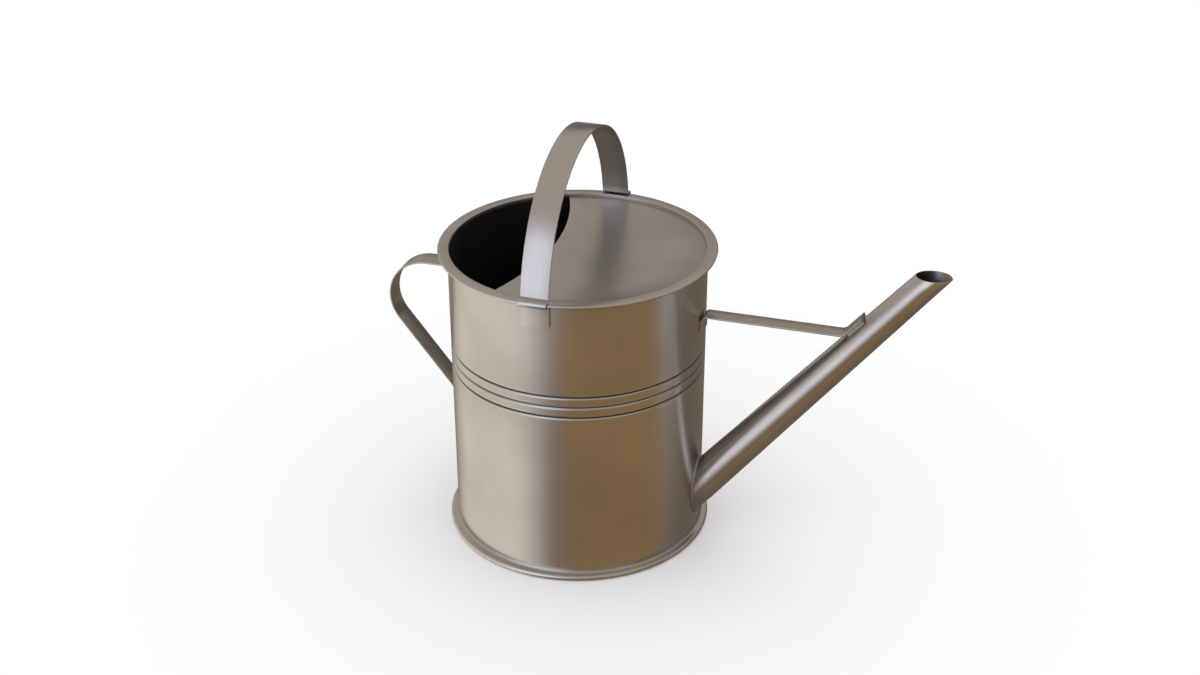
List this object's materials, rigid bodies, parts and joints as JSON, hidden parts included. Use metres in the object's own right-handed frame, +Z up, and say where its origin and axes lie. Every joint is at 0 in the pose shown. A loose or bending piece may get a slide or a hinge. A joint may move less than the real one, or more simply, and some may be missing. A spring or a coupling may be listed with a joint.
{
  "type": "watering can",
  "caption": "Round sheet-steel watering can with a half cover, hoop handle, rear handle and a long tapered spout held by a brace.",
  "frame": {"origin": "on the body's axis, in the plane that the base seam stands on", "axes": "+Z up along the body's axis, +X from the body's axis towards the spout, +Y completes a right-handed frame along the hoop handle"},
  "size_m": [0.396, 0.1968, 0.2982],
  "materials": {
    "body_sheet": "satin, softly grained sheet steel",
    "spout_sheet": "satin sheet steel, rolled into a taper",
    "strap_steel": "satin strip steel with dressed edges",
    "solder": "dull wiped solder"
  },
  "bodies": {
    "root": {"body_wall": "body_sheet", "base_pan": "body_sheet", "top_cover": "body_sheet", "spout_tube": "spout_sheet", "spout_brace": "strap_steel", "hoop_handle": "strap_steel", "rear_handle": "strap_steel", "base_seal": "solder", "spout_solder": "solder", "hoop_solder": "solder", "rear_solder": "solder", "brace_solder": "solder"}
  },
  "joints": []
}
